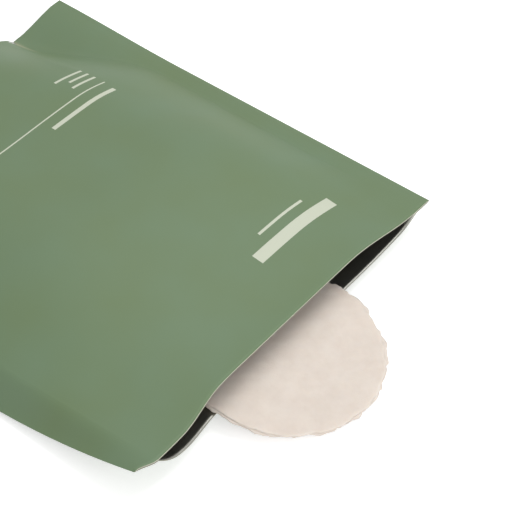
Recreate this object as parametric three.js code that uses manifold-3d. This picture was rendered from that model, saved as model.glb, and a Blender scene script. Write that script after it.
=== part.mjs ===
// Opened refill pouch of round cleansing pads, lying on its back panel.
// The pouch is one heat-sealed film bag with a folded bottom gusset. Its mouth is cut open, one pad is
// pulled half out over the lower lip, and the remaining pads stand in a stack inside.
// Millimetres, +Z up, +Y towards the gusset, X across the pouch. The origin is at the centre of the base.
import * as THREE from "three";
import { mergeVertices } from "three/addons/utils/BufferGeometryUtils.js";
import Module from "manifold-3d";

const wasm = await Module();
wasm.setup();

// Pouch film
const POUCH_WIDTH = 158;
const POUCH_LENGTH = 168;
const FILM = 0.2;
const SIDE_SEAL = 8;
const BOTTOM_SEAL = 5;
const GUSSET_DEPTH = 30;
const EAR_WIDTH = 24;
const EAR_LENGTH = 46;

// Height of the side seals above the floor: at the two mouth corners and at the gusset. Between them the
// left seal sinks to the floor and hangs down from its inner edge.
const SEAL_AT_MOUTH_LEFT = 13.5;
const SEAL_AT_MOUTH_RIGHT = 9.2;
const SEAL_AT_GUSSET = 14;
const LEFT_SEAL_LOW = 1.2;
const LEFT_SEAL_HANG = 5;
const LEFT_SEAL_RUN = 70;

// Heights of the two lips in the middle of the mouth, and of the front panel over the pads
const FRONT_LIP = 14.8;
const BACK_LIP = 4.5;
const FRONT_PANEL = 26;
const FRONT_RAMP = 80;
const BACK_RAMP = 60;

// Each panel leaves the seal in a short steep shoulder, then eases to its full height over the flank.
const FLANK = 34;
const SHOULDER = 10;
const SHOULDER_SHARE = 0.55;

// Pads
const PAD_DIAMETER = 70;
const PAD_THICKNESS = 1.2;
const PAD_GAP = 0.1;
const PAD_SIDES = 24;
const STACK_COUNT = 16;
const STACK_SCATTER = 1.2;
const STACK_CLEARANCE = 4;
const GOLDEN_ANGLE = Math.PI * (3 - Math.sqrt(5));

// Pulled pad: where its centre lies across the mouth and inside it, and its clearance to the film
const PULLED_ACROSS = -6.4;
const PULLED_INSIDE = 0.8;
const PULLED_CLEARANCE = 0.3;
const LIP_CLEARANCE = 0.5;
const FLOOR_CLEARANCE = 0.05;

// Grid of the lofted film, and the overshoot that makes each cut pass clean through
const COLUMNS = 22;
const ROWS = 15;
const OVERSHOOT = 2;
const FOLD_HALF_GAP = 0.05;

const padRadius = PAD_DIAMETER / 2;
const pulledReach = padRadius - PULLED_INSIDE;
const middle = (POUCH_LENGTH - pulledReach) / 2;

const ease = (t) => THREE.MathUtils.smoothstep(t, 0, 1);
const lerp = THREE.MathUtils.lerp;

// Width of the sealed band at a distance y from the mouth: the side seal, growing into the corner ear.
function sealedBand(y) {
  const earStart = POUCH_LENGTH - EAR_LENGTH;
  return lerp(SIDE_SEAL, EAR_WIDTH, ease((y - earStart) / EAR_LENGTH));
}

// Share of the full bulge at a point: 0 on the sealed band, 1 past the flank.
function bulgeShare(x, y) {
  const inward = POUCH_WIDTH / 2 - sealedBand(y) - Math.abs(x);
  const arc = (reach) => Math.sin((THREE.MathUtils.clamp(inward / reach, 0, 1) * Math.PI) / 2);
  return lerp(arc(FLANK), arc(SHOULDER), SHOULDER_SHARE);
}

// Height of the seal's middle plane: the right seal rises evenly, the left one sinks and rises again.
function sealHeight(x, y) {
  const right = lerp(SEAL_AT_MOUTH_RIGHT, SEAL_AT_GUSSET, y / POUCH_LENGTH);
  const sinking = ease(y / LEFT_SEAL_RUN);
  const ear = ease((y - POUCH_LENGTH + EAR_LENGTH) / EAR_LENGTH);
  const left = lerp(lerp(SEAL_AT_MOUTH_LEFT, LEFT_SEAL_LOW, sinking), SEAL_AT_GUSSET, ear);
  const across = x / POUCH_WIDTH + 0.5;
  const hang = LEFT_SEAL_HANG * sinking * (1 - ear) * (1 - across);
  return lerp(left, right, across) + hang * ease((x + POUCH_WIDTH / 2) / SIDE_SEAL);
}

// Outer face of the front panel and of the back panel
function frontHeight(x, y) {
  const seal = sealHeight(x, y) + FILM;
  const panel = lerp(FRONT_LIP, FRONT_PANEL, ease(y / FRONT_RAMP));
  return lerp(seal, panel, bulgeShare(x, y));
}
function backHeight(x, y) {
  const seal = sealHeight(x, y) - FILM;
  const panel = lerp(BACK_LIP, 0, ease(y / BACK_RAMP));
  return lerp(seal, panel, bulgeShare(x, y));
}

// Closed solid between two height fields, from a box whose grid is laid onto the film.
// place(u, v) gives the plan position for u and v from 0 to 1.
function sheetSolid(columns, rows, place, top, bottom) {
  const box = new THREE.BoxGeometry(1, 1, 1, columns, rows, 1);
  const points = box.getAttribute("position");
  for (let i = 0; i < points.count; i++) {
    const [x, y] = place(points.getX(i) + 0.5, points.getY(i) + 0.5);
    const height = points.getZ(i) > 0 ? top : bottom;
    points.setXYZ(i, x, y, height(x, y));
  }
  return box;
}

function toSolid(geometry) {
  const bare = geometry.clone();
  bare.deleteAttribute("normal");
  bare.deleteAttribute("uv");
  const merged = mergeVertices(bare, 1e-4);
  return new wasm.Manifold(
    new wasm.Mesh({
      numProp: 3,
      vertProperties: new Float32Array(merged.getAttribute("position").array),
      triVerts: new Uint32Array(merged.index.array),
    }),
  );
}

function toGeometry(solid) {
  const mesh = solid.getMesh();
  const geometry = new THREE.BufferGeometry();
  geometry.setAttribute("position", new THREE.BufferAttribute(mesh.vertProperties, 3));
  geometry.setIndex(new THREE.BufferAttribute(mesh.triVerts, 1));
  geometry.computeVertexNormals();
  return geometry;
}

// Plan position of the cavity's grid: columns between the two sealed bands, closer together near them.
function insideSeals(share, y) {
  return -Math.cos(Math.PI * share) * (POUCH_WIDTH / 2 - sealedBand(y));
}

// The outer grid has the cavity's own columns, with one more along each sealed band.
function outerColumn(u, y) {
  const column = Math.round(u * (COLUMNS + 2));
  if (column === 0) return -POUCH_WIDTH / 2;
  if (column === COLUMNS + 2) return POUCH_WIDTH / 2;
  return insideSeals((column - 1) / COLUMNS, y);
}

// Distance from the mouth of a row of the film, the last row but one lying on the bottom seal's edge.
function filmRow(row) {
  return row > ROWS - 1 ? POUCH_LENGTH : ((POUCH_LENGTH - BOTTOM_SEAL) * row) / (ROWS - 1);
}

function pouchOutside() {
  const place = (u, v) => {
    const y = filmRow(Math.round(v * ROWS));
    return [outerColumn(u, y), y];
  };
  return toSolid(sheetSolid(COLUMNS + 2, ROWS, place, frontHeight, backHeight));
}

// Space inside the bag, open past the mouth and ending at the bottom seal.
function pouchInside() {
  const place = (u, v) => {
    const row = Math.round(v * ROWS) - 1;
    const y = row < 0 ? -OVERSHOOT : filmRow(row);
    return [insideSeals(u, Math.max(y, 0)), y];
  };
  const wall = (height, side) => (x, y) => height(x, Math.max(y, 0)) - side * FILM;
  const sealed = (x, y) => sealHeight(x, Math.max(y, 0));
  const top = (x, y) => Math.max(wall(frontHeight, 1)(x, y), sealed(x, y) + FOLD_HALF_GAP);
  const bottom = (x, y) => Math.min(wall(backHeight, -1)(x, y), sealed(x, y) - FOLD_HALF_GAP);
  return toSolid(sheetSolid(COLUMNS, ROWS, place, top, bottom));
}

// Wedge of the bottom gusset: it lies against both panels along the bottom seal and narrows to the fold.
// layers is the number of film layers between the wedge and the pouch's outer face.
function gussetWedge(layers) {
  const grow = (2 - layers) * FILM;
  const fold = POUCH_LENGTH - GUSSET_DEPTH - grow;
  const rows = [fold, POUCH_LENGTH - BOTTOM_SEAL, POUCH_LENGTH + OVERSHOOT];
  const columns = COLUMNS - 2;
  const place = (u, v) => {
    const y = rows[Math.round(v * 2)];
    const row = THREE.MathUtils.clamp(y, POUCH_LENGTH - BOTTOM_SEAL, POUCH_LENGTH);
    const x = insideSeals((1 + u * columns) / COLUMNS, row);
    const atEnd = u < 0.5 / columns || u > 1 - 0.5 / columns;
    return [atEnd ? x + Math.sign(x) * grow : x, y];
  };
  const face = (height, side) => (x, y) => {
    if (y === fold) return SEAL_AT_GUSSET + side * (FOLD_HALF_GAP + grow);
    return height(x, Math.min(y, POUCH_LENGTH)) - side * layers * FILM;
  };
  return toSolid(sheetSolid(columns, 2, place, face(frontHeight, 1), face(backHeight, -1)));
}

function pouchGeometry() {
  const cavity = pouchInside().subtract(gussetWedge(1));
  return toGeometry(pouchOutside().subtract(cavity).subtract(gussetWedge(2)));
}

function stackedPadGeometry() {
  const disc = new THREE.CylinderGeometry(padRadius, padRadius, PAD_THICKNESS, PAD_SIDES);
  return disc.rotateX(Math.PI / 2);
}

// Underside of the pulled pad: along the back panel inside, over the lip, then down to the floor.
function pulledPadCurve() {
  const inner = padRadius + PULLED_INSIDE;
  const onFilm = (y) => backHeight(PULLED_ACROSS, y) + FILM;
  return new THREE.SplineCurve([
    new THREE.Vector2(-pulledReach - OVERSHOOT, FLOOR_CLEARANCE),
    new THREE.Vector2(-pulledReach / 2, onFilm(0) / 2),
    new THREE.Vector2(0, onFilm(0) + LIP_CLEARANCE),
    new THREE.Vector2(inner / 2, onFilm(inner / 2) + LIP_CLEARANCE + PULLED_CLEARANCE),
    new THREE.Vector2(inner + OVERSHOOT, onFilm(inner) + LIP_CLEARANCE + PULLED_CLEARANCE),
  ]);
}

// A bent strip as wide as the pad, trimmed to a round disc.
function pulledPadGeometry() {
  const steps = 14;
  const under = pulledPadCurve().getPoints(steps);
  const over = under.map((p) => new THREE.Vector2(p.x, p.y + PAD_THICKNESS)).reverse();
  const strip = new THREE.ExtrudeGeometry(new THREE.Shape([...under, ...over]), {
    depth: PAD_DIAMETER + OVERSHOOT,
    bevelEnabled: false,
  });
  // The strip's section lies in X and Y and runs along Z: turn it to lie in Y and Z and run along X.
  const turn = new THREE.Matrix4().makeBasis(
    new THREE.Vector3(0, 1, 0),
    new THREE.Vector3(0, 0, 1),
    new THREE.Vector3(1, 0, 0),
  );
  strip.applyMatrix4(turn);
  strip.translate(PULLED_ACROSS - (PAD_DIAMETER + OVERSHOOT) / 2, 0, 0);
  const trim = new THREE.CylinderGeometry(padRadius, padRadius, 4 * FRONT_LIP, 2 * PAD_SIDES);
  trim.rotateX(Math.PI / 2).translate(PULLED_ACROSS, PULLED_INSIDE, 0);
  return toGeometry(toSolid(strip).intersect(toSolid(trim)));
}

const filmMaterial = new THREE.MeshStandardMaterial({ color: 0x7f9676, roughness: 0.5, metalness: 0 });
const padMaterial = new THREE.MeshStandardMaterial({ color: 0xe8ddd0, roughness: 0.95, metalness: 0 });

const refillPack = new THREE.Group();
refillPack.position.y = -middle;

function add(name, geometry, material, x = 0, y = 0, z = 0) {
  const mesh = new THREE.Mesh(geometry, material);
  mesh.name = name;
  mesh.position.set(x, y, z);
  refillPack.add(mesh);
}

add("pouch", pouchGeometry(), filmMaterial);
add("pad_pulled_out", pulledPadGeometry(), padMaterial);

// The stack stands on the back panel, against the fold of the gusset.
const stackY = POUCH_LENGTH - GUSSET_DEPTH - STACK_CLEARANCE - padRadius - STACK_SCATTER;
for (let i = 0; i < STACK_COUNT; i++) {
  const angle = i * GOLDEN_ANGLE;
  add(
    `pad_${String(i + 1).padStart(2, "0")}`,
    stackedPadGeometry(),
    padMaterial,
    STACK_SCATTER * Math.cos(angle),
    stackY + STACK_SCATTER * Math.sin(angle),
    FILM + PAD_GAP + i * (PAD_THICKNESS + PAD_GAP) + PAD_THICKNESS / 2,
  );
}

const root = new THREE.Group();
root.add(refillPack);

export default root;
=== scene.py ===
"""Opened refill pouch of round cleansing pads, lying on its back panel with one pad pulled half out.

Shapes are worked out in millimetres, with x across the pouch and y along it from the mouth to the
gusset, and are turned to metres in the CAD frame when a mesh is made.
"""
import math

import bmesh
import bpy
from mathutils import Matrix, Vector, noise


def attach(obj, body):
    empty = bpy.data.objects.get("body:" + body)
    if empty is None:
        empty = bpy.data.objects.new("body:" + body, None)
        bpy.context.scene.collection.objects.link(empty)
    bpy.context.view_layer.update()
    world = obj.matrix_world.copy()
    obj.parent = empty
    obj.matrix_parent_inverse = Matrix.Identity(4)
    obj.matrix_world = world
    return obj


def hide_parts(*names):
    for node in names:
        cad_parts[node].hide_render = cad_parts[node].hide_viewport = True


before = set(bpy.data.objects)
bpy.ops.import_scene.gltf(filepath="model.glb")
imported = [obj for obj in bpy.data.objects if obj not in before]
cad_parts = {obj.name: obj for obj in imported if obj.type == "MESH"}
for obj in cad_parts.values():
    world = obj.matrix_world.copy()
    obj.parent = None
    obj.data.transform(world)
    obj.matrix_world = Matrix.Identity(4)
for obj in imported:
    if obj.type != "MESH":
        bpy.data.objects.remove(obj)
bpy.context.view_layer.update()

# Pouch film
POUCH_WIDTH = 158.0
POUCH_LENGTH = 168.0
FILM = 0.2
# Each ply of a seal lies this far off the seal's middle, which keeps steep plies clear of each other.
SEALED_PLY = 0.36
SIDE_SEAL = 8.0
GUSSET_DEPTH = 30.0
EAR_WIDTH = 26.0
EAR_LENGTH = 58.0
EAR_SAG = 5.0
EAR_LIFT = 1.5

# Side seals, lips and panels
SEAL_AT_MOUTH_LEFT = 13.5
SEAL_AT_MOUTH_RIGHT = 9.2
SEAL_AT_GUSSET = 14.0
LEFT_SEAL_LOW = 1.2
LEFT_SEAL_HANG = 10.0
LEFT_SEAL_RUN = 70.0
FRONT_LIP = 16.6
BACK_LIP = 4.5
FRONT_PANEL = 26.0
FRONT_RAMP = 80.0
BACK_RAMP = 60.0
FLANK = 34.0
SHOULDER = 10.0
SHOULDER_SHARE = 0.55
MOUTH_RISE = 42.0
MOUTH_RUN = 45.0
FRONT_FLANK_LEFT = 54.0
FRONT_FLANK_RIGHT = 42.0

# Uneven cut of the mouth: how far its long left end stands out, and where that fades
CUT_BULGE = 2.5
CUT_FADE_FROM = -60.0
CUT_FADE_WIDTH = 22.0
CUT_FADE_LENGTH = 30.0

# Unevenness of the film: wavelengths across and along, and heights
SWELL_ACROSS = 46.0
SWELL_ALONG = 58.0
SWELL_HEIGHT = 0.9
DENT_ACROSS = 17.0
DENT_ALONG = 26.0
DENT_HEIGHT = 0.8

# Crease from the gusset corner: it starts and settles this far from the middle
CREASE_START = 50.0
CREASE_SETTLED = 42.0
CREASE_LENGTH = 60.0
CREASE_HEIGHT = 1.2
CREASE_WIDTH = 3.2

# Painted highlight: a pale streak where the ridge off each gusset ear catches the light
PAINTED_HIGHLIGHT_FROM_MIDDLE = 52.0
PAINTED_HIGHLIGHT_HALF_WIDTH = 2.4
PAINTED_HIGHLIGHT_LENGTH = 16.0

# Pads
PAD_RADIUS = 35.0
PAD_THICKNESS = 1.2
PULLED_ACROSS = -6.4
PULLED_INSIDE = 0.8
PULLED_CLEARANCE = 0.8
LIP_CLEARANCE = 0.5
FLOOR_CLEARANCE = 0.05
PAD_GAP = 0.1
STACK_COUNT = 16
STACK_SCATTER = 1.2
STACK_CLEARANCE = 4.0

MIDDLE = (POUCH_LENGTH - PAD_RADIUS + PULLED_INSIDE) / 2


def lerp(a, b, t):
    return a + (b - a) * t


def ease(t):
    t = min(max(t, 0.0), 1.0)
    return t * t * (3 - 2 * t)


def to_metres(x, y, z):
    """A point of the pouch, in millimetres from the middle of the mouth, in the CAD frame."""
    return Vector((x, y - MIDDLE, z)) * 0.001


# The pouch's shape

def sealed_band(y):
    """Width of the sealed edge: the side seal, growing into the corner ear."""
    return lerp(SIDE_SEAL, EAR_WIDTH, ease((y - POUCH_LENGTH + EAR_LENGTH) / EAR_LENGTH))


def bulge_share(x, y):
    """Share of a panel's full height: a short steep shoulder off the seal, then an easy flank."""
    inward = POUCH_WIDTH / 2 - sealed_band(y) - abs(x)
    flank = math.sin(min(max(inward / FLANK, 0.0), 1.0) * math.pi / 2)
    shoulder = math.sin(min(max(inward / SHOULDER, 0.0), 1.0) * math.pi / 2)
    return lerp(flank, shoulder, SHOULDER_SHARE)


def front_share(x, y):
    """The same for the front panel, which is slack: an even rise at the mouth, then a round flank."""
    inward = POUCH_WIDTH / 2 - sealed_band(y) - abs(x)
    flank = FRONT_FLANK_LEFT if x < 0 else FRONT_FLANK_RIGHT
    body = math.sin(min(max(inward / flank, 0.0), 1.0) * math.pi / 2)
    return lerp(ease(inward / MOUTH_RISE), body, ease(y / MOUTH_RUN))


def cut_line(x, y):
    """How far the film stands out past an even cut: the mouth's left end was cut a little long."""
    fade = 1 - ease((x - CUT_FADE_FROM) / CUT_FADE_WIDTH)
    long_end = ease((x + POUCH_WIDTH / 2) / SIDE_SEAL) * fade
    return CUT_BULGE * long_end * (1 - ease(y / CUT_FADE_LENGTH))


def seal_height(x, y):
    """Height of the seals: the right one rises evenly, the left one sinks and hangs to the floor."""
    right = lerp(SEAL_AT_MOUTH_RIGHT, SEAL_AT_GUSSET, y / POUCH_LENGTH)
    sinking = 1 - (1 - min(y / LEFT_SEAL_RUN, 1.0)) ** 2
    ear = ease((y - POUCH_LENGTH + EAR_LENGTH) / EAR_LENGTH)
    left = lerp(lerp(SEAL_AT_MOUTH_LEFT, LEFT_SEAL_LOW, sinking), SEAL_AT_GUSSET, ear)
    across = x / POUCH_WIDTH + 0.5
    hang = LEFT_SEAL_HANG * sinking * (1 - ear) * (1 - across)
    sag = EAR_SAG * ease((POUCH_WIDTH / 2 - abs(x)) / EAR_WIDTH) - EAR_LIFT
    return lerp(left, right, across) + hang * ease((x + POUCH_WIDTH / 2) / SIDE_SEAL) - sag * ear


def ripple(x, y, share):
    """Soft unevenness of handled film: broad swells, and smaller dents towards the flanks."""
    broad = noise.noise(Vector((x / SWELL_ACROSS, y / SWELL_ALONG, 3.1)))
    small = noise.noise(Vector((x / DENT_ACROSS, y / DENT_ALONG, 8.4)))
    return share * SWELL_HEIGHT * broad + DENT_HEIGHT * share * (1.15 - share) * small


def gusset_crease(x, y):
    """Soft ridge from the gusset corner along the right flank, sinking as it goes."""
    along = (POUCH_LENGTH - y) / CREASE_LENGTH
    if along > 1:
        return 0.0
    line = lerp(CREASE_START, CREASE_SETTLED, ease(along * 1.6)) + 12 * max(0.0, along - 0.6)
    return CREASE_HEIGHT * (1 - along) ** 1.2 * math.exp(-abs(x - line) / CREASE_WIDTH)


def front_height(x, y):
    share = front_share(x, y)
    panel = lerp(FRONT_LIP, FRONT_PANEL, ease(y / FRONT_RAMP))
    height = lerp(seal_height(x, y) + SEALED_PLY, panel, share)
    # The cut lip is straighter than the film behind it, and the ridge dies out at the seal.
    uneven = ripple(x, y, share) * ease(y / 25 + 0.25)
    return height + uneven + gusset_crease(x, y) * min(1, 4 * share)


def back_height(x, y):
    panel = BACK_LIP * max(1 - y / BACK_RAMP, 0.0) ** 2
    return lerp(seal_height(x, y) - SEALED_PLY, panel, bulge_share(x, y))


BAND_COLUMNS = 5
PANEL_COLUMNS = 90
FILM_ROWS = 112
GUSSET_ROWS = 18

# The gusset folds in to its full depth where the panels stand this far apart at the bottom edge.
GUSSET_FULL_GAP = 7.0
GUSSET_ROUNDNESS = 1.12

# The back panel and the gusset lie beside the front panel on the flat film.
BACK_SHIFT = 400
GUSSET_SHIFT = 800


def film_column(i, y):
    """Across position of a column: a few along each sealed band, the rest spread between them."""
    band = sealed_band(y)
    inner = POUCH_WIDTH / 2 - band
    if i < BAND_COLUMNS:
        return -POUCH_WIDTH / 2 + band * i / BAND_COLUMNS
    if i > BAND_COLUMNS + PANEL_COLUMNS:
        return inner + band * (i - BAND_COLUMNS - PANEL_COLUMNS) / BAND_COLUMNS
    return -inner * math.cos(math.pi * (i - BAND_COLUMNS) / PANEL_COLUMNS)


def pouch_mesh():
    """The folded film as one sheet: front panel, back panel and the gusset between their far edges."""
    mesh = bmesh.new()
    film = mesh.loops.layers.uv.new("film_metres")
    flat = {}

    def point(x, y, z, u, v):
        vertex = mesh.verts.new(to_metres(x, y, z))
        flat[vertex] = (u, v)
        return vertex

    last = 2 * BAND_COLUMNS + PANEL_COLUMNS
    front, back = [], []
    for row in range(FILM_ROWS + 1):
        y = POUCH_LENGTH * row / FILM_ROWS
        xs = [film_column(i, y) for i in range(last + 1)]
        upper = [point(x, y - cut_line(x, y), front_height(x, y), x, y) for x in xs[1:-1]]
        lower = [point(x, y - cut_line(x, y), back_height(x, y), x, y) for x in xs[1:-1]]
        left = point(xs[0], y, seal_height(xs[0], y), xs[0], y)
        right = point(xs[-1], y, seal_height(xs[-1], y), xs[-1], y)
        front.append([left, *upper, right])
        back.append([left, *lower, right])

    gusset = [front[-1]]
    for row in range(1, GUSSET_ROWS):
        t = row / GUSSET_ROWS
        line = [front[-1][0]]
        for i in range(1, last):
            x = film_column(i, POUCH_LENGTH)
            top = front_height(x, POUCH_LENGTH)
            base = back_height(x, POUCH_LENGTH)
            depth = GUSSET_DEPTH * ease((top - base - 2 * FILM) / GUSSET_FULL_GAP)
            fold = lerp((top + base) / 2, SEAL_AT_GUSSET, bulge_share(x, POUCH_LENGTH))
            inward = 1 - abs(2 * t - 1) ** GUSSET_ROUNDNESS
            z = lerp(top, fold, 2 * t) if t < 0.5 else lerp(fold, base, 2 * t - 1)
            line.append(point(x, POUCH_LENGTH - depth * inward, z, x, POUCH_LENGTH + 2 * GUSSET_DEPTH * t))
        line.append(front[-1][-1])
        gusset.append(line)
    gusset.append(back[-1])

    def skin(rows, shift):
        for a, b in zip(rows, rows[1:]):
            for i in range(last):
                corners = [a[i], a[i + 1], b[i + 1], b[i]]
                loop = [v for n, v in enumerate(corners) if v not in corners[:n]]
                if len(loop) < 3:
                    continue
                face = mesh.faces.new(loop)
                face.smooth = True
                for corner in face.loops:
                    u, v = flat[corner.vert]
                    corner[film].uv = ((u + shift) * 0.001, v * 0.001)

    skin(front, 0)
    skin(back[::-1], BACK_SHIFT)
    skin(gusset, GUSSET_SHIFT)
    # The film is creased, not rounded, along its sealed sides and its bottom edges.
    for rows in (front, back):
        folds = [[row[0] for row in rows], [row[-1] for row in rows], rows[-1]]
        for fold in folds:
            for a, b in zip(fold, fold[1:]):
                mesh.edges.get((a, b)).smooth = False
    return mesh


def new_piece(name, mesh, materials):
    data = bpy.data.meshes.new(name)
    mesh.to_mesh(data)
    mesh.free()
    piece = bpy.data.objects.new(name, data)
    bpy.context.scene.collection.objects.link(piece)
    for material in materials:
        data.materials.append(material)
    return piece


# Materials

def linear(hex_colour):
    parts = [int(hex_colour[i:i + 2], 16) / 255 for i in (1, 3, 5)]
    parts = [c / 12.92 if c <= 0.04045 else ((c + 0.055) / 1.055) ** 2.4 for c in parts]
    return (*parts, 1.0)


def add(tree, kind, settings=None, **inputs):
    """One node with its settings and its inputs: a value is set on the socket, a socket is linked."""
    made = tree.nodes.new(kind)
    for name, value in (settings or {}).items():
        setattr(made, name, value)
    for name, value in inputs.items():
        socket = made.inputs[int(name[1:])] if name[1:].isdigit() else made.inputs[name.replace("_", " ")]
        if isinstance(value, bpy.types.NodeSocket):
            tree.links.new(value, socket)
        else:
            socket.default_value = value
    return made


def new_material(name):
    material = bpy.data.materials.new(name)
    material.use_nodes = True
    return material, material.node_tree, material.node_tree.nodes["Principled BSDF"]


# Plain printed marks on the front panel: middle across, middle along, width and height in millimetres
PRINTED_MARKS = [
    (0.0, 115.5, 88.0, 0.55),
    (27.0, 110.2, 32.0, 1.7),
    (38.0, 120.0, 12.0, 1.0),
    (39.0, 123.2, 10.0, 1.0),
    (37.0, 126.4, 14.0, 1.0),
    (31.0, 22.5, 42.0, 4.4),
    (31.0, 28.8, 24.0, 1.0),
]


def printed_laminate():
    """Matte-varnished polyester laminate, gravure printed: soft broad highlights and faint mottle."""
    material, tree, shader = new_material("printed_matte_laminate")
    film = add(tree, "ShaderNodeUVMap", {"uv_map": "film_metres"}).outputs[0]
    millimetres = add(tree, "ShaderNodeVectorMath", {"operation": "SCALE"}, _0=film, Scale=1000.0)
    place = add(tree, "ShaderNodeSeparateXYZ", None, _0=millimetres.outputs[0])
    ink = None
    for across, along, width, height in PRINTED_MARKS:
        in_x = add(
            tree, "ShaderNodeMath", {"operation": "COMPARE"},
            _0=place.outputs[0], _1=across, _2=width / 2,
        )
        in_y = add(
            tree, "ShaderNodeMath", {"operation": "COMPARE"},
            _0=place.outputs[1], _1=along, _2=height / 2,
        )
        mark = add(
            tree, "ShaderNodeMath", {"operation": "MULTIPLY"},
            _0=in_x.outputs[0], _1=in_y.outputs[0],
        )
        if ink is None:
            ink = mark
        else:
            ink = add(
                tree, "ShaderNodeMath", {"operation": "MAXIMUM"},
                _0=ink.outputs[0], _1=mark.outputs[0],
            )
    # Mottle of the ink about 30 mm across
    mottle = add(tree, "ShaderNodeTexNoise", None, Vector=millimetres.outputs[0], Scale=1 / 30, Detail=2.0)
    sage = add(
        tree, "ShaderNodeMix", {"data_type": "RGBA"},
        _0=mottle.outputs[0], _6=linear("#6B7D57"), _7=linear("#6F866C"),
    )
    printed = add(
        tree, "ShaderNodeMix", {"data_type": "RGBA"},
        _0=ink.outputs[0], _6=sage.outputs[2], _7=linear("#C9CEBB"),
    )
    # The cut runs through the film's white core, which shows as a pale line along the mouth.
    at_cut = add(tree, "ShaderNodeMath", {"operation": "LESS_THAN"}, _0=place.outputs[1], _1=0.15)
    edged = add(
        tree, "ShaderNodeMix", {"data_type": "RGBA"},
        _0=at_cut.outputs[0], _6=printed.outputs[2], _7=linear("#CFCDBB"),
    )
    # Painted highlight: a pale streak along the ridge off each gusset ear, where the fold catches the
    # light.
    side = add(tree, "ShaderNodeMath", {"operation": "ABSOLUTE"}, _0=place.outputs[0])
    off_fold = add(
        tree, "ShaderNodeMath", {"operation": "SUBTRACT"},
        _0=side.outputs[0], _1=PAINTED_HIGHLIGHT_FROM_MIDDLE,
    )
    apart = add(tree, "ShaderNodeMath", {"operation": "ABSOLUTE"}, _0=off_fold.outputs[0])
    beside = add(
        tree, "ShaderNodeMapRange", {"interpolation_type": "SMOOTHSTEP"},
        _0=apart.outputs[0], _1=0.0, _2=PAINTED_HIGHLIGHT_HALF_WIDTH, _3=0.55, _4=0.0,
    )
    along = add(
        tree, "ShaderNodeMapRange", {"interpolation_type": "SMOOTHSTEP"},
        _0=place.outputs[1], _1=POUCH_LENGTH - PAINTED_HIGHLIGHT_LENGTH, _2=POUCH_LENGTH - 3,
    )
    painted_highlight = add(
        tree, "ShaderNodeMath", {"operation": "MULTIPLY"},
        _0=beside.outputs[0], _1=along.outputs[0],
    )
    # The pale colour mixed in here is the painted highlight along the fold off each ear.
    film_colour = add(
        tree, "ShaderNodeMix", {"data_type": "RGBA"},
        _0=painted_highlight.outputs[0], _6=edged.outputs[2], _7=linear("#B9B79A"),
    )
    tree.links.new(film_colour.outputs[2], shader.inputs["Base Color"])
    # Varnish grain is a few hundredths of a millimetre: drawn at 0.7 mm so that it shows
    grain = add(tree, "ShaderNodeTexNoise", None, Vector=millimetres.outputs[0], Scale=1 / 0.7, Detail=2.0)
    bump = add(tree, "ShaderNodeBump", None, Strength=0.08, Distance=0.0001, Height=grain.outputs[0])
    tree.links.new(bump.outputs[0], shader.inputs["Normal"])
    shader.inputs["Roughness"].default_value = 0.52
    shader.inputs["Specular IOR Level"].default_value = 0.25
    return material


def metallised_lining():
    """Vacuum-metallised film: a grey mirror, a little blurred by its sealing layer."""
    material, tree, shader = new_material("metallised_lining")
    place = add(tree, "ShaderNodeTexCoord").outputs["Object"]
    # Faint wrinkles about 9 mm apart
    wrinkle = add(tree, "ShaderNodeTexNoise", None, Vector=place, Scale=1 / 0.009, Detail=3.0)
    bump = add(tree, "ShaderNodeBump", None, Strength=0.2, Distance=0.0006, Height=wrinkle.outputs[0])
    tree.links.new(bump.outputs[0], shader.inputs["Normal"])
    tint = add(
        tree, "ShaderNodeMix", {"data_type": "RGBA"},
        _0=wrinkle.outputs[0], _6=linear("#8A8A84"), _7=linear("#A0A098"),
    )
    tree.links.new(tint.outputs[2], shader.inputs["Base Color"])
    shader.inputs["Metallic"].default_value = 0.9
    shader.inputs["Roughness"].default_value = 0.28
    return material


def cut_film_edge():
    """Cut edge of the laminate: the white core between print and lining."""
    material, tree, shader = new_material("cut_film_edge")
    place = add(tree, "ShaderNodeTexCoord").outputs["Object"]
    nick = add(tree, "ShaderNodeTexNoise", None, Vector=place, Scale=1 / 0.004, Detail=2.0)
    core = add(
        tree, "ShaderNodeMix", {"data_type": "RGBA"},
        _0=nick.outputs[0], _6=linear("#90927F"), _7=linear("#ABAD9A"),
    )
    tree.links.new(core.outputs[2], shader.inputs["Base Color"])
    shader.inputs["Roughness"].default_value = 0.6
    return material


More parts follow.
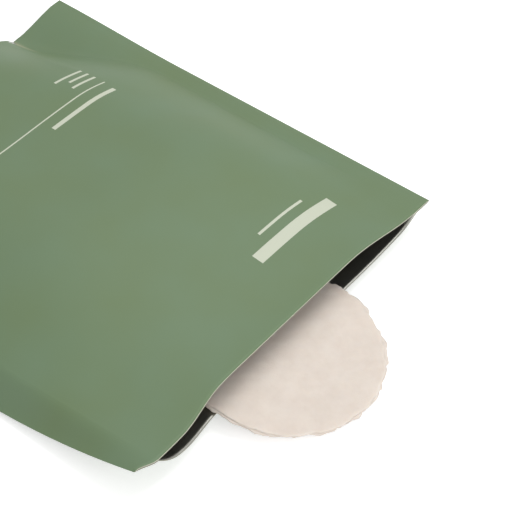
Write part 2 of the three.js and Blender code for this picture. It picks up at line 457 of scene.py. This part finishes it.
def damp_cotton():
    """Damp spunlaced cotton: cream, soft, with a fibrous mottle and a faint pressed grid."""
    material, tree, shader = new_material("damp_spunlaced_cotton")
    place = add(tree, "ShaderNodeTexCoord").outputs["Object"]
    # Clumps of fibre 5 mm across, and single fibres drawn at 0.8 mm so that they show
    clump = add(tree, "ShaderNodeTexNoise", None, Vector=place, Scale=1 / 0.005, Detail=4.0, Roughness=0.6)
    fibre = add(
        tree, "ShaderNodeTexNoise", None,
        Vector=place, Scale=1 / 0.0008, Detail=5.0, Roughness=0.7, Distortion=1.5,
    )
    cream = add(
        tree, "ShaderNodeMix", {"data_type": "RGBA"},
        _0=clump.outputs[0], _6=linear("#DACCC0"), _7=linear("#EBE1D7"),
    )
    tree.links.new(cream.outputs[2], shader.inputs["Base Color"])
    # Pressed grid with a 3 mm pitch
    rib = add(
        tree, "ShaderNodeTexWave", {"bands_direction": "DIAGONAL"},
        Vector=place, Scale=0.314 / 0.003, Distortion=2.0,
    )
    height = add(
        tree, "ShaderNodeMath", {"operation": "MULTIPLY_ADD"},
        _0=rib.outputs[1], _1=0.25, _2=fibre.outputs[0],
    )
    relief = add(
        tree, "ShaderNodeMath", {"operation": "MULTIPLY_ADD"},
        _0=clump.outputs[0], _1=1.2, _2=height.outputs[0],
    )
    bump = add(tree, "ShaderNodeBump", None, Strength=0.5, Distance=0.0003, Height=relief.outputs[0])
    tree.links.new(bump.outputs[0], shader.inputs["Normal"])
    shader.inputs["Roughness"].default_value = 0.92
    shader.inputs["Sheen Weight"].default_value = 0.15
    shader.inputs["Subsurface Weight"].default_value = 0.2
    shader.inputs["Subsurface Radius"].default_value = (1.0, 0.8, 0.6)
    shader.inputs["Subsurface Scale"].default_value = 0.002
    return material


film_face = printed_laminate()
film_lining = metallised_lining()
film_edge = cut_film_edge()
cotton = damp_cotton()


# Pouch

pouch = new_piece("film_pouch", pouch_mesh(), [film_face, film_lining, film_edge])
film_wall = pouch.modifiers.new("film_thickness", "SOLIDIFY")
film_wall.thickness = FILM * 0.001
film_wall.offset = -1.0
film_wall.use_even_offset = False
film_wall.material_offset = 1
film_wall.material_offset_rim = 2
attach(pouch, "root")
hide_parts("pouch")


# Pads

# How far each ply's rim lies inside the pad's full radius, before it is torn
TOP_PLY_INSET = 1.1
LOWER_PLY_INSET = 0.6


def pad_mesh(seed, rings, segments, centre, underside):
    """A soft disc: ragged rim in two plies, a slight swell, and underside(y) for its height."""
    mesh = bmesh.new()

    def rim(angle, share):
        """Torn outline: the plies differ, and the lower one stands out a little further."""
        at = Vector((math.cos(angle), math.sin(angle), 0))
        ply = Vector((seed, 0, 0 if share > 0.5 else 4.7))
        ragged = noise.noise(at * 5 + ply) * 0.9 + noise.noise(at * 13 + ply) * 0.7
        fray = noise.noise(at * 34 + ply) * 0.45
        return PAD_RADIUS - (TOP_PLY_INSET if share > 0.5 else LOWER_PLY_INSET) + ragged + fray

    # Section from the middle of the top face, round the rim, to the middle of the underside: share of
    # the radius, and share of the thickness. The rim dips between the two plies.
    top = [(r / rings, 1.0) for r in range(1, rings)]
    edge = [
        (0.985, 0.97), (0.996, 0.84), (1.0, 0.7), (0.985, 0.52),
        (0.985, 0.48), (1.0, 0.36), (0.99, 0.1),
    ]
    under = [(r / rings, 0.0) for r in range(rings - 1, 0, -1)]
    section = [s for s in top if s[0] < 0.98] + edge + [s for s in under if s[0] < 0.985]

    def point(radius, angle, share):
        x, y = radius * math.cos(angle), radius * math.sin(angle)
        swell = 0.1 * noise.noise(Vector((x / 6, y / 6, seed))) if share > 0.95 else 0.0
        z = underside(y) + PAD_THICKNESS * share + swell
        return mesh.verts.new(to_metres(x + centre[0], y + centre[1], z))

    loops = []
    for radius_share, share in section:
        loop = []
        for k in range(segments):
            angle = 2 * math.pi * k / segments
            loop.append(point(rim(angle, share) * radius_share, angle, share))
        loops.append(loop)
    crown = point(0, 0, 1.0)
    heel = point(0, 0, 0.0)
    for k in range(segments):
        n = (k + 1) % segments
        mesh.faces.new([crown, loops[0][k], loops[0][n]])
        mesh.faces.new([heel, loops[-1][n], loops[-1][k]])
        for a, b in zip(loops, loops[1:]):
            mesh.faces.new([a[k], b[k], b[n], a[n]])
    for face in mesh.faces:
        face.smooth = True
    return mesh


def through(points, at):
    """Height on a smooth curve through the points, which run from low to high."""
    for i in range(len(points) - 1):
        (x0, z0), (x1, z1) = points[i], points[i + 1]
        if at <= x1 or i == len(points) - 2:
            before = points[max(i - 1, 0)]
            after = points[min(i + 2, len(points) - 1)]
            span = x1 - x0
            m0 = (z1 - before[1]) / (x1 - before[0]) * span
            m1 = (after[1] - z0) / (after[0] - x0) * span
            t = (at - x0) / span
            return (
                z0 * (2 * t**3 - 3 * t**2 + 1) + m0 * (t**3 - 2 * t**2 + t)
                + z1 * (3 * t**2 - 2 * t**3) + m1 * (t**3 - t**2)
            )
    return points[-1][1]


PULLED_INNER = PAD_RADIUS + PULLED_INSIDE
PULLED_REACH = PAD_RADIUS - PULLED_INSIDE
LIP_LEVEL = BACK_LIP + FILM
PULLED_LINE = [
    (-PULLED_REACH - 2, 0.1),
    (-PULLED_REACH / 2, LIP_LEVEL / 2),
    (0, LIP_LEVEL + LIP_CLEARANCE),
    (PULLED_INNER / 2, back_height(PULLED_ACROSS, PULLED_INNER / 2) + FILM + PULLED_CLEARANCE),
    (PULLED_INNER + 2, back_height(PULLED_ACROSS, PULLED_INNER) + FILM + PULLED_CLEARANCE),
]


def pulled_pad():
    """The pad that droops over the lower lip: y is measured from the pad's centre."""

    def underside(y):
        return max(through(PULLED_LINE, y + PULLED_INSIDE), FLOOR_CLEARANCE)

    return pad_mesh(0.37, 30, 180, (PULLED_ACROSS, PULLED_INSIDE), underside)


def stacked_pad(i):
    """A flat pad of the stack, set off its axis in a turn of the golden angle for each pad."""
    turn = math.pi * (3 - math.sqrt(5)) * i
    row = POUCH_LENGTH - GUSSET_DEPTH - STACK_CLEARANCE - PAD_RADIUS - STACK_SCATTER
    centre = (STACK_SCATTER * math.cos(turn), row + STACK_SCATTER * math.sin(turn))
    level = FILM + PAD_GAP + i * (PAD_THICKNESS + PAD_GAP)
    return pad_mesh(1.7 * i + 2.2, 9, 72, centre, lambda y: level)


pads = [("pad_pulled_out", pulled_pad())]
for i in range(STACK_COUNT):
    pads.append((f"pad_{i + 1:02d}", stacked_pad(i)))
for node_name, mesh in pads:
    pad = new_piece(f"cotton_{node_name}", mesh, [cotton])
    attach(pad, "root")
    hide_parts(node_name)


# Stage

def shown_plainly(tree):
    """1 for the rays that show the stage itself: straight to the camera, in a mirror or through glass."""
    path = add(tree, "ShaderNodeLightPath").outputs
    shown = path["Is Camera Ray"]
    for ray in ("Is Glossy Ray", "Is Transmission Ray"):
        shown = add(tree, "ShaderNodeMath", {"operation": "MAXIMUM"}, _0=shown, _1=path[ray]).outputs[0]
    return shown


def white_floor():
    """Plain white paper: it takes the shadow, and reads as white to the camera and to reflections."""
    material, tree, shader = new_material("white_paper")
    shader.inputs["Base Color"].default_value = linear("#F2F2F2")
    shader.inputs["Roughness"].default_value = 0.9
    glow = add(tree, "ShaderNodeMath", {"operation": "MULTIPLY"}, _0=shown_plainly(tree), _1=0.5)
    shader.inputs["Emission Color"].default_value = (1, 1, 1, 1)
    tree.links.new(glow.outputs[0], shader.inputs["Emission Strength"])
    return material


# Metres: the floor lies just under the film, and the world lights the object at this strength.
FLOOR_DROP = 0.0004
WORLD_LIGHT = 0.55

floor_mesh = bmesh.new()
bmesh.ops.create_grid(floor_mesh, x_segments=2, y_segments=2, size=3.0)
floor = new_piece("paper_floor", floor_mesh, [white_floor()])
floor.location.z = -FLOOR_DROP

world = bpy.data.worlds.new("studio")
bpy.context.scene.world = world
world.use_nodes = True
sky = world.node_tree.nodes["Background"]
sky.inputs["Color"].default_value = (1, 1, 1, 1)
level = add(
    world.node_tree, "ShaderNodeMapRange", None,
    _0=shown_plainly(world.node_tree), _3=WORLD_LIGHT, _4=1.0,
)
world.node_tree.links.new(level.outputs[0], sky.inputs["Strength"])


def soft_lamp(name, at, power, size):
    data = bpy.data.lights.new(name, "AREA")
    data.energy = power
    data.size = size
    lamp = bpy.data.objects.new(name, data)
    bpy.context.scene.collection.objects.link(lamp)
    lamp.location = at
    lamp.rotation_euler = (-Vector(at)).to_track_quat("-Z", "Y").to_euler()


soft_lamp("key_softbox", (0.6, -0.05, 1.25), 7.5, 0.9)
soft_lamp("fill_softbox", (-0.4, -1.2, 0.6), 8.0, 1.0)


# Camera: long lens, looking down across the open mouth
CAMERA_AZIMUTH = -55.16
CAMERA_ELEVATION = 43.68
CAMERA_ROLL = 3.0
CAMERA_DISTANCE = 607.28
CAMERA_TARGET = to_metres(27.24, 35.14, 0)
SENSOR_WIDTH = 36.0
IMAGE_SIZE = 512
FOCAL_PIXELS = 1800


def look(azimuth, elevation, roll, distance, target, lens):
    a, e, r = (math.radians(v) for v in (azimuth, elevation, roll))
    back = Vector((math.sin(a) * math.cos(e), -math.cos(a) * math.cos(e), math.sin(e)))
    across = Vector((math.cos(a), math.sin(a), 0))
    up = back.cross(across)
    right = across * math.cos(r) + up * math.sin(r)
    top = up * math.cos(r) - across * math.sin(r)
    data = bpy.data.cameras.new("camera")
    data.sensor_fit = "HORIZONTAL"
    data.sensor_width = SENSOR_WIDTH
    data.lens = lens
    camera = bpy.data.objects.new("camera", data)
    bpy.context.scene.collection.objects.link(camera)
    turn = Matrix((right, top, back)).transposed().to_4x4()
    camera.matrix_world = Matrix.Translation(target + back * distance * 0.001) @ turn
    bpy.context.scene.camera = camera


lens = FOCAL_PIXELS * SENSOR_WIDTH / IMAGE_SIZE
look(CAMERA_AZIMUTH, CAMERA_ELEVATION, CAMERA_ROLL, CAMERA_DISTANCE, CAMERA_TARGET, lens)
bpy.context.scene.view_settings.view_transform = "Standard"
